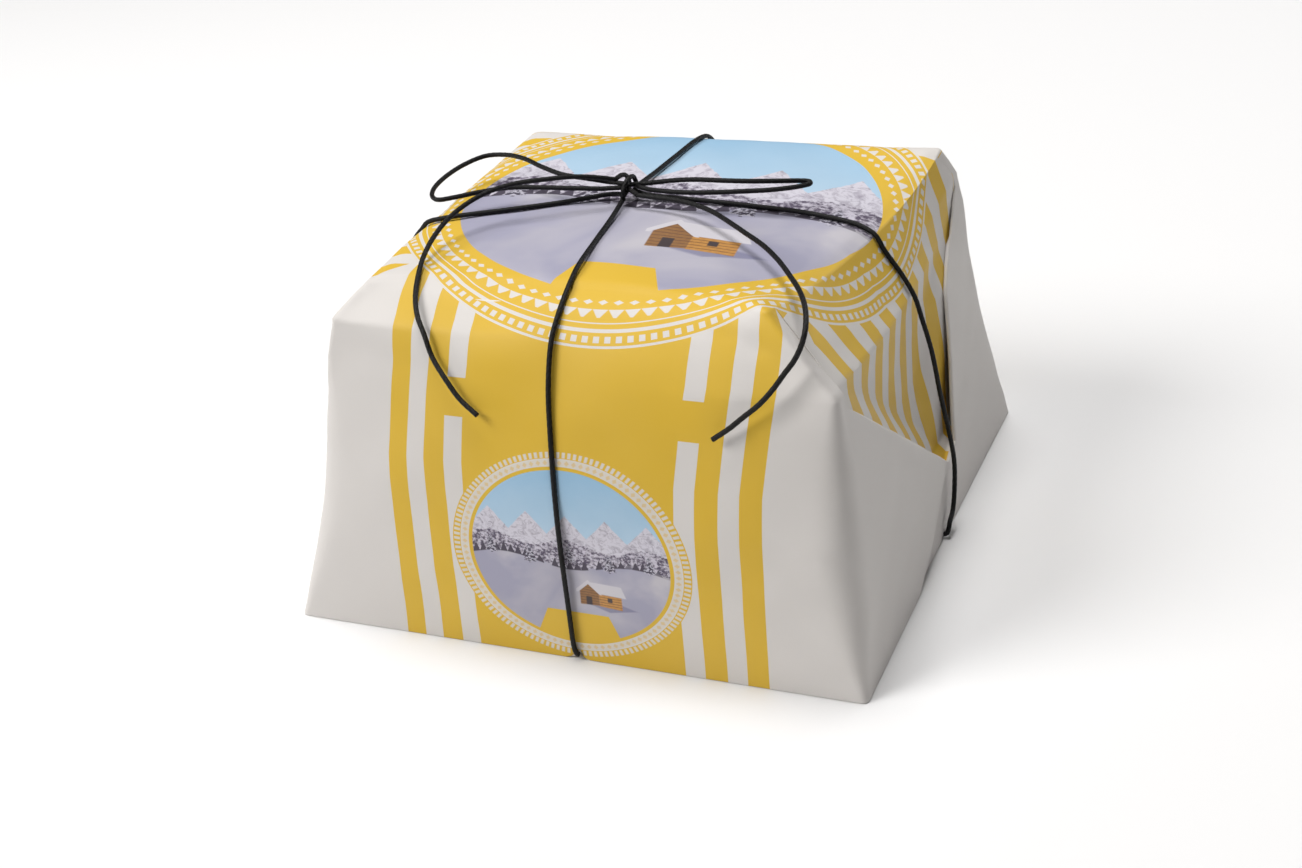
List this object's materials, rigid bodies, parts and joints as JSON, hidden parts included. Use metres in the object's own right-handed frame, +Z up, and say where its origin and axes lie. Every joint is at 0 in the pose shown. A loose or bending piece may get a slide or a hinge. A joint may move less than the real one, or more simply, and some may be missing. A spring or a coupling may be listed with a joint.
{
  "type": "paper-wrapped panettone tied with cord",
  "caption": "Square parcel with a leaning, softly rounded shape: a domed loaf in a baking case on a card, wrapped in folded printed paper and tied crosswise with a cord that ends in a bow.",
  "frame": {"origin": "centre of the square base, on the surface that the parcel stands on", "axes": "+Z up through the wrapped top, +X to the right along the front face, -Y out of the front face"},
  "size_m": [0.2464, 0.2445, 0.1565],
  "materials": {
    "wrapping_paper": "smooth uncoated paper, warm white with yellow print",
    "base_card": "matt grey card",
    "baking_case": "matt brown baking paper",
    "panettone": "baked golden brown crust",
    "clear_bag": "clear film",
    "bag_tie": "gold foil strip",
    "cord": "black waxed cotton, satin"
  },
  "bodies": {
    "root": {"wrapping_paper": "wrapping_paper", "base_card": "base_card", "baking_case": "baking_case", "panettone": "panettone", "clear_bag": "clear_bag", "bag_tie": "bag_tie", "cord_round_front_back": "cord", "cord_round_left_right": "cord", "cord_knot": "cord", "bow_loop_left": "cord", "bow_loop_right": "cord", "bow_tail_left": "cord", "bow_tail_right": "cord"}
  },
  "joints": []
}
